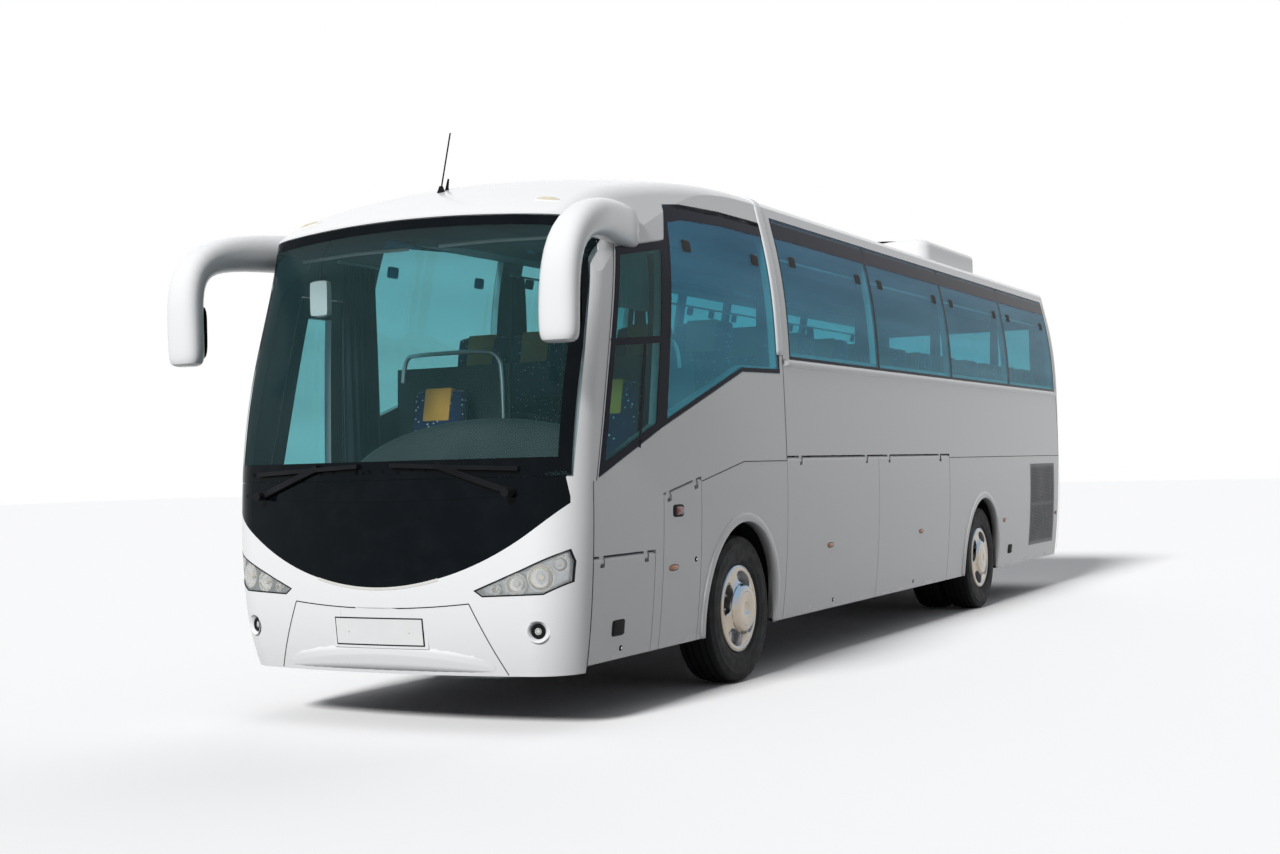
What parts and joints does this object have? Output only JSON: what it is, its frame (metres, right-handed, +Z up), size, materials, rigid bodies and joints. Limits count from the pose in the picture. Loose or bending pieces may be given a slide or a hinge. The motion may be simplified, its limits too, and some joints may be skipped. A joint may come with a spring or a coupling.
{
  "type": "coach bus",
  "caption": "Long-distance coach bus with a domed front roof, sweeping side windows, luggage bays below the floor, hinged doors and steered front wheels.",
  "frame": {"origin": "on the ground, below the middle of the overall length with the mirrors", "axes": "+X forward, +Y to the left, +Z up"},
  "size_m": [12.5229, 2.98, 3.78],
  "materials": {
    "white_paint": "glossy white two-layer paint",
    "black_gloss": "polished black",
    "black_trim": "black grained plastic",
    "tinted_glass": "blue-green tinted, mirror-like",
    "clear_glass": "clear with a faint green edge",
    "red_lens": "clear red moulded lens",
    "dark_steel": "satin black chassis paint",
    "grille_paint": "dark grey satin mesh",
    "engine_iron": "painted cast iron",
    "bright_wheel": "polished bright metal",
    "tyre_rubber": "black rubber",
    "seat_cloth": "navy moquette with small pale dots",
    "grey_floor": "grey flecked floor covering",
    "grey_trim": "light grey moulded trim",
    "door_steel": "bare steel tube"
  },
  "bodies": {
    "body": {"aerial": "black_trim", "air_conditioner": "white_paint", "bumper_flap": "white_paint", "chassis_frame": "dark_steel", "dashboard": "black_trim", "driver_seat": "seat_cloth", "engine": "engine_iron", "front_axle": "dark_steel", "front_cap": "white_paint", "front_lamps": "clear_glass", "front_lid": "black_gloss", "front_side_walls": "white_paint", "lower_panels": "white_paint", "luggage_bay": "grey_floor", "luggage_racks": "grey_trim", "mirrors": "white_paint", "partitions": "grey_trim", "radiator_grille": "grille_paint", "rear_axle": "dark_steel", "rear_cap": "white_paint", "rear_window": "tinted_glass", "roof": "white_paint", "roof_dome": "white_paint", "roof_hatches": "white_paint", "saloon_floor": "grey_floor", "saloon_seats": "seat_cloth", "side_walls": "white_paint", "side_windows": "tinted_glass", "steering_wheel": "black_trim", "tail_lamps": "red_lens", "wheel_housings": "black_trim", "windscreen": "clear_glass", "windscreen_pillars": "white_paint", "wiper_apron": "black_gloss", "wipers": "black_trim"},
    "left_steered": {"left_knuckle": "dark_steel"},
    "right_steered": {"right_knuckle": "dark_steel"},
    "left_front": {"left_front_wheel": "bright_wheel", "left_front_tyre": "tyre_rubber"},
    "right_front": {"right_front_wheel": "bright_wheel", "right_front_tyre": "tyre_rubber"},
    "left_rear": {"left_rear_wheels": "bright_wheel", "left_rear_tyres": "tyre_rubber"},
    "right_rear": {"right_rear_wheels": "bright_wheel", "right_rear_tyres": "tyre_rubber"},
    "front_door_swing_arms": {"front_door_arms": "door_steel"},
    "front_door_leaf": {"front_door": "white_paint", "front_door_glass": "tinted_glass"},
    "middle_door_swing_arms": {"middle_door_arms": "door_steel"},
    "middle_door_leaf": {"middle_door": "white_paint", "middle_door_glass": "tinted_glass"},
    "engine_lid": {"engine_lid": "white_paint"},
    "left_luggage_door_front": {"left_luggage_door_front": "white_paint"},
    "left_luggage_door_rear": {"left_luggage_door_rear": "white_paint"},
    "right_luggage_door_front": {"right_luggage_door_front": "white_paint"},
    "right_luggage_door_rear": {"right_luggage_door_rear": "white_paint"},
    "locker_door": {"locker_door": "white_paint"},
    "service_flap": {"service_flap": "white_paint"}
  },
  "joints": [
    {"name": "left_steering", "type": "hinge", "parent": "body", "child": "left_steered", "pos_m": [3.43, 0.905, 0.522], "axis": [0, 0, 1], "range_deg": [-45, 45]},
    {"name": "right_steering", "type": "hinge", "parent": "body", "child": "right_steered", "pos_m": [3.43, -0.905, 0.522], "axis": [0, 0, 1], "range_deg": [-45, 45]},
    {"name": "left_front_spin", "type": "hinge", "parent": "left_steered", "child": "left_front", "pos_m": [3.43, 1.0745, 0.522], "axis": [0, 1, 0], "continuous": true},
    {"name": "left_rear_spin", "type": "hinge", "parent": "body", "child": "left_rear", "pos_m": [-2.725, 0.907, 0.522], "axis": [0, 1, 0], "continuous": true},
    {"name": "right_front_spin", "type": "hinge", "parent": "right_steered", "child": "right_front", "pos_m": [3.43, -1.0745, 0.522], "axis": [0, 1, 0], "continuous": true},
    {"name": "right_rear_spin", "type": "hinge", "parent": "body", "child": "right_rear", "pos_m": [-2.725, -0.907, 0.522], "axis": [0, 1, 0], "continuous": true},
    {"name": "left_luggage_door_front_hinge", "type": "hinge", "parent": "body", "child": "left_luggage_door_front", "pos_m": [2.3083, 1.24531, 1.56], "axis": [1, 0, 0], "range_deg": [0, 85]},
    {"name": "left_luggage_door_rear_hinge", "type": "hinge", "parent": "body", "child": "left_luggage_door_rear", "pos_m": [0.22814, 1.24531, 1.56], "axis": [1, 0, 0], "range_deg": [0, 85]},
    {"name": "right_luggage_door_front_hinge", "type": "hinge", "parent": "body", "child": "right_luggage_door_front", "pos_m": [0.8143, -1.24531, 1.56], "axis": [-1, 0, 0], "range_deg": [0, 85]},
    {"name": "right_luggage_door_rear_hinge", "type": "hinge", "parent": "body", "child": "right_luggage_door_rear", "pos_m": [-0.47894, -1.24531, 1.56], "axis": [-1, 0, 0], "range_deg": [0, 85]},
    {"name": "locker_door_hinge", "type": "hinge", "parent": "body", "child": "locker_door", "pos_m": [4.61066, 1.24523, 1.35215], "axis": [0.9847, 0, -0.1745], "range_deg": [0, 85]},
    {"name": "service_flap_hinge", "type": "hinge", "parent": "body", "child": "service_flap", "pos_m": [5.50396, 1.23293, 0.978], "axis": [1, 0, 0], "range_deg": [0, 85]},
    {"name": "engine_lid_hinge", "type": "hinge", "parent": "body", "child": "engine_lid", "pos_m": [-6.13966, 0, 1.5], "axis": [0, 1, 0], "range_deg": [0, 75]},
    {"name": "front_door_swing", "type": "hinge", "parent": "body", "child": "front_door_swing_arms", "pos_m": [5.515, -1.075, 1], "axis": [0, 0, 1], "range_deg": [0, 90]},
    {"name": "front_door_leaf", "type": "hinge", "parent": "front_door_swing_arms", "child": "front_door_leaf", "pos_m": [4.915, -1.075, 1], "axis": [0, 0, 1], "range_deg": [-90, 0]},
    {"name": "middle_door_swing", "type": "hinge", "parent": "body", "child": "middle_door_swing_arms", "pos_m": [-1.42, -1.075, 1], "axis": [0, 0, -1], "range_deg": [0, 90]},
    {"name": "middle_door_leaf", "type": "hinge", "parent": "middle_door_swing_arms", "child": "middle_door_leaf", "pos_m": [-0.82, -1.075, 1], "axis": [0, 0, -1], "range_deg": [-90, 0]}
  ],
  "couplings": [
    {"joint": "right_steering", "follows": "left_steering", "ratio": 1},
    {"joint": "front_door_leaf", "follows": "front_door_swing", "ratio": -1},
    {"joint": "middle_door_leaf", "follows": "middle_door_swing", "ratio": -1}
  ]
}
